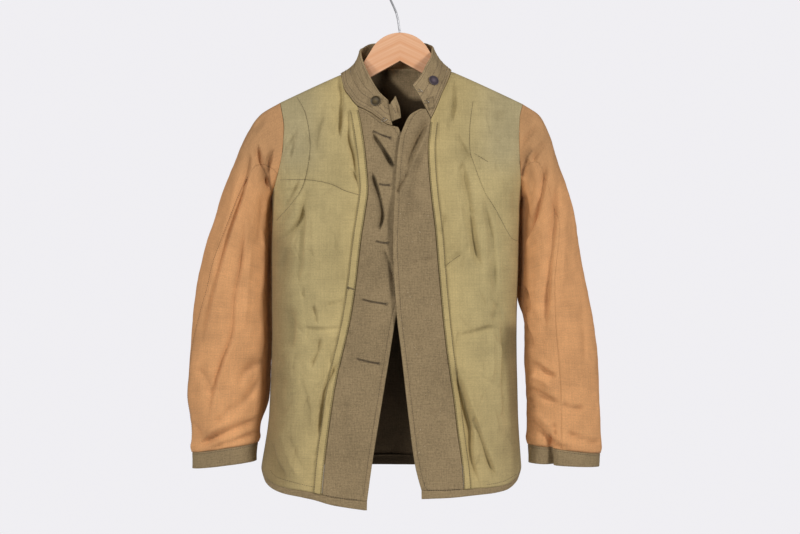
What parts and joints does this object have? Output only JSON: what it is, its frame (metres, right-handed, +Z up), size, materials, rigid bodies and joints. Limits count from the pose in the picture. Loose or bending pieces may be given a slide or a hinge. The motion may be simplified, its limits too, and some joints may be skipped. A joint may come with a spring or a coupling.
{
  "type": "military service jacket on a wooden hanger",
  "caption": "Lined wool service jacket turned inside out, with stand collar, long sleeves and fronts that part below the chest, hanging on a flat wooden hanger with a wire hook.",
  "frame": {"origin": "the point inside the top of the hanger's hook where a rail bears", "axes": "+X to the right seen from the front, -Y the way the front faces, +Z up"},
  "size_m": [0.656, 0.1546, 0.8482],
  "materials": {
    "olive_cotton": "matt plain-weave lining cotton",
    "tan_cotton": "matt plain-weave sleeve lining cotton",
    "brown_wool": "fulled wool with a short nap",
    "composition": "moulded button, satin",
    "light_wood": "clear matt varnish",
    "steel": "bright wire"
  },
  "bodies": {
    "root": {"back_lining": "olive_cotton", "back_shell": "brown_wool", "front_lining_left": "olive_cotton", "front_yoke_left": "olive_cotton", "front_lining_right": "olive_cotton", "facing_left": "brown_wool", "facing_right": "brown_wool", "edge_band_left": "olive_cotton", "edge_band_right": "olive_cotton", "hem_left": "brown_wool", "hem_right": "brown_wool", "hem_back": "brown_wool", "sleeve_upper_left": "tan_cotton", "sleeve_under_left": "tan_cotton", "sleeve_upper_right": "tan_cotton", "sleeve_under_right": "tan_cotton", "cuff_left": "brown_wool", "cuff_right": "brown_wool", "collar": "brown_wool", "collar_tab": "brown_wool", "collar_button_left": "composition", "collar_button_right": "composition", "hanger_board": "light_wood", "hanger_hook": "steel"}
  },
  "joints": []
}
